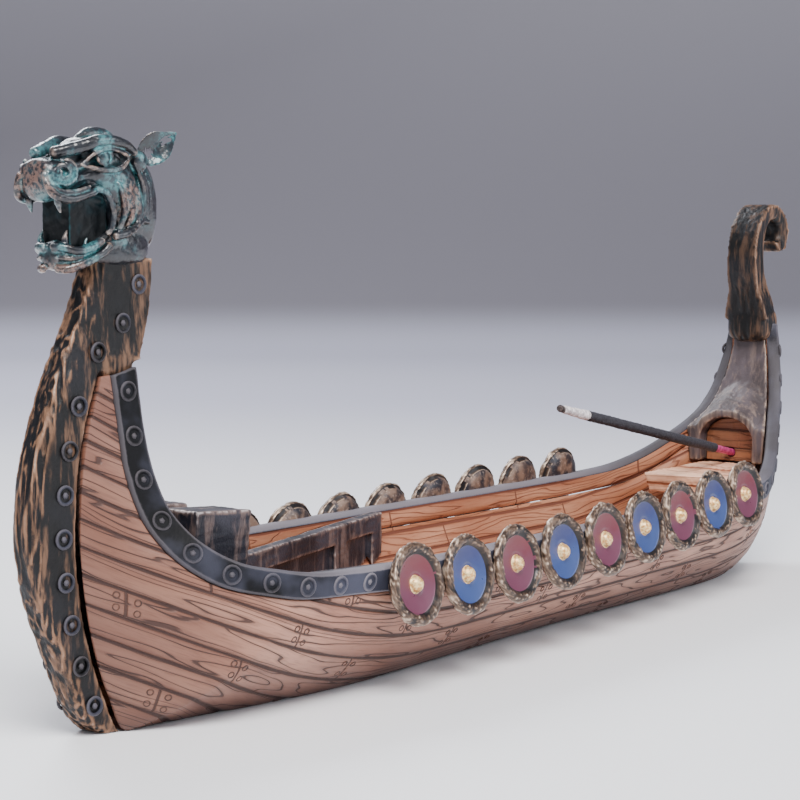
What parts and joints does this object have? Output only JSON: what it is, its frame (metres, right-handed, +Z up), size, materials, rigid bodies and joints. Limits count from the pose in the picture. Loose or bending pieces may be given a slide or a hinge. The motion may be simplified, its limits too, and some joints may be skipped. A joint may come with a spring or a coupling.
{
  "type": "longship incense burner",
  "caption": "Incense stick burner shaped as a dragon-headed longship with an open ash trough, round shields along both sides and a stick held at the stern.",
  "frame": {"origin": "under the middle of the ship's overall box, on the surface it stands on", "axes": "+X towards the stern, so the bow points to -X; +Y to starboard; +Z up"},
  "size_m": [0.2648, 0.0622, 0.1021],
  "materials": {
    "planks": "cast resin painted as light tan planks with dark engraved grain",
    "trough": "cast resin painted orange-brown, satin",
    "dark_timber": "near-black resin with bronze and silver dry-brushed edges",
    "iron_band": "slate blue-grey paint with ring rivets, worn silver edges",
    "patina": "dark bronze paint with teal verdigris and pale worn edges",
    "shield_red": "pink-red field, beaded silver-bronze rim, gold boss",
    "shield_blue": "blue field, beaded silver-bronze rim, gold boss",
    "dyed_bamboo": "bamboo dyed magenta",
    "incense_paste": "matt black incense coating",
    "ash": "pale grey burnt ash with a dark end"
  },
  "bodies": {
    "ship": {"bow_stem": "dark_timber", "dragon_head": "patina", "dragon_lower_jaw": "patina", "dragon_tongue": "patina", "foredeck": "dark_timber", "keel_plate": "planks", "port_bench": "dark_timber", "port_ear": "patina", "port_fore_frame": "dark_timber", "port_gunwale_band": "iron_band", "port_planking": "planks", "port_shield_1": "shield_red", "port_shield_2": "shield_blue", "port_shield_3": "shield_red", "port_shield_4": "shield_blue", "port_shield_5": "shield_red", "port_shield_6": "shield_blue", "port_shield_7": "shield_red", "port_shield_8": "shield_blue", "port_shield_9": "shield_red", "starboard_bench": "dark_timber", "starboard_ear": "patina", "starboard_fore_frame": "dark_timber", "starboard_gunwale_band": "iron_band", "starboard_planking": "planks", "starboard_shield_1": "shield_red", "starboard_shield_2": "shield_blue", "starboard_shield_3": "shield_red", "starboard_shield_4": "shield_blue", "starboard_shield_5": "shield_red", "starboard_shield_6": "shield_blue", "starboard_shield_7": "shield_red", "starboard_shield_8": "shield_blue", "starboard_shield_9": "shield_red", "stern_breast": "dark_timber", "stern_niche": "trough", "stern_post": "dark_timber", "stern_seat": "trough", "trough_floor": "trough"},
    "incense_stick": {"stick_core": "dyed_bamboo", "stick_coating": "incense_paste", "stick_ash": "ash"}
  },
  "joints": [
    {"name": "stick_pull", "type": "slide", "parent": "ship", "child": "incense_stick", "axis": [-0.9792, 0, 0.2028], "range_m": [0, 0.02]}
  ]
}
